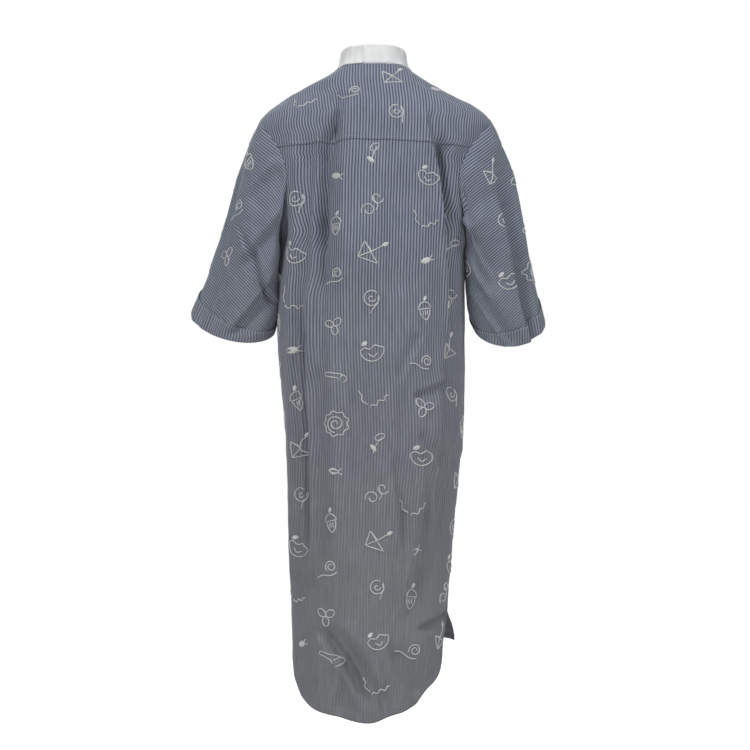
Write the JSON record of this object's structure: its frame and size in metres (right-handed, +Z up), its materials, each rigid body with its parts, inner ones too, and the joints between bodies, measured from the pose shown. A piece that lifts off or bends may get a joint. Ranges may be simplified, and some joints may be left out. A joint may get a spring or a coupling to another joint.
{
  "type": "patient gown",
  "caption": "Long loose patient gown with a stand collar, buttoned neck placket, half sleeves with turned-back cuffs, side vents and a curved tail hem.",
  "frame": {"origin": "centre of the neck opening, level with the neck seam at the centre back", "axes": "+X towards the wearer's left, +Y towards the back, +Z up along the body"},
  "size_m": [0.6225, 0.2756, 1.1743],
  "materials": {
    "striped_cotton": "matt, fine blue and white stripe",
    "white_cotton": "matt, fine plain weave",
    "interfacing": "matt, stiff non-woven",
    "button_shell": "pearly gloss",
    "sewing_thread": "twisted thread, slight sheen",
    "label_tape": "satin woven tape, blank"
  },
  "bodies": {
    "gown_body": {"back_yoke": "striped_cotton", "yoke_lining": "striped_cotton", "back_panel": "striped_cotton", "front_panel": "striped_cotton", "collar_outer": "white_cotton", "collar_interfacing": "interfacing", "collar_inner": "white_cotton", "placket_over_band": "striped_cotton", "placket_interfacing": "interfacing", "placket_under_band": "striped_cotton", "button_1": "button_shell", "button_2": "button_shell", "button_3": "button_shell", "button_4": "button_shell", "button_5": "button_shell", "button_thread_1": "sewing_thread", "button_thread_2": "sewing_thread", "button_thread_3": "sewing_thread", "button_thread_4": "sewing_thread", "button_thread_5": "sewing_thread", "neck_label": "label_tape", "care_label": "label_tape", "vent_tack_left": "sewing_thread", "vent_tack_right": "sewing_thread"},
    "left_sleeve_body": {"left_sleeve": "striped_cotton", "left_cuff": "striped_cotton", "left_cuff_tack": "sewing_thread"},
    "right_sleeve_body": {"right_sleeve": "striped_cotton", "right_cuff": "striped_cotton", "right_cuff_tack": "sewing_thread"},
    "back_tail_body": {"back_tail": "striped_cotton"},
    "front_tail_body": {"front_tail": "striped_cotton"}
  },
  "joints": [
    {"name": "left_sleeve_lift", "type": "hinge", "parent": "gown_body", "child": "left_sleeve_body", "pos_m": [0.207, 0, -0.09], "axis": [0, -1, 0], "range_deg": [0, 30]},
    {"name": "right_sleeve_lift", "type": "hinge", "parent": "gown_body", "child": "right_sleeve_body", "pos_m": [-0.207, 0, -0.09], "axis": [0, 1, 0], "range_deg": [0, 30]},
    {"name": "back_tail_swing", "type": "hinge", "parent": "gown_body", "child": "back_tail_body", "pos_m": [0, 0.126, -0.925], "axis": [1, 0, 0], "range_deg": [0, 18], "stiffness_Nm_per_rad": 0.4, "springref_deg": -2.86},
    {"name": "front_tail_swing", "type": "hinge", "parent": "gown_body", "child": "front_tail_body", "pos_m": [0, -0.128, -0.925], "axis": [-1, 0, 0], "range_deg": [0, 18], "stiffness_Nm_per_rad": 0.4, "springref_deg": -2.86}
  ]
}
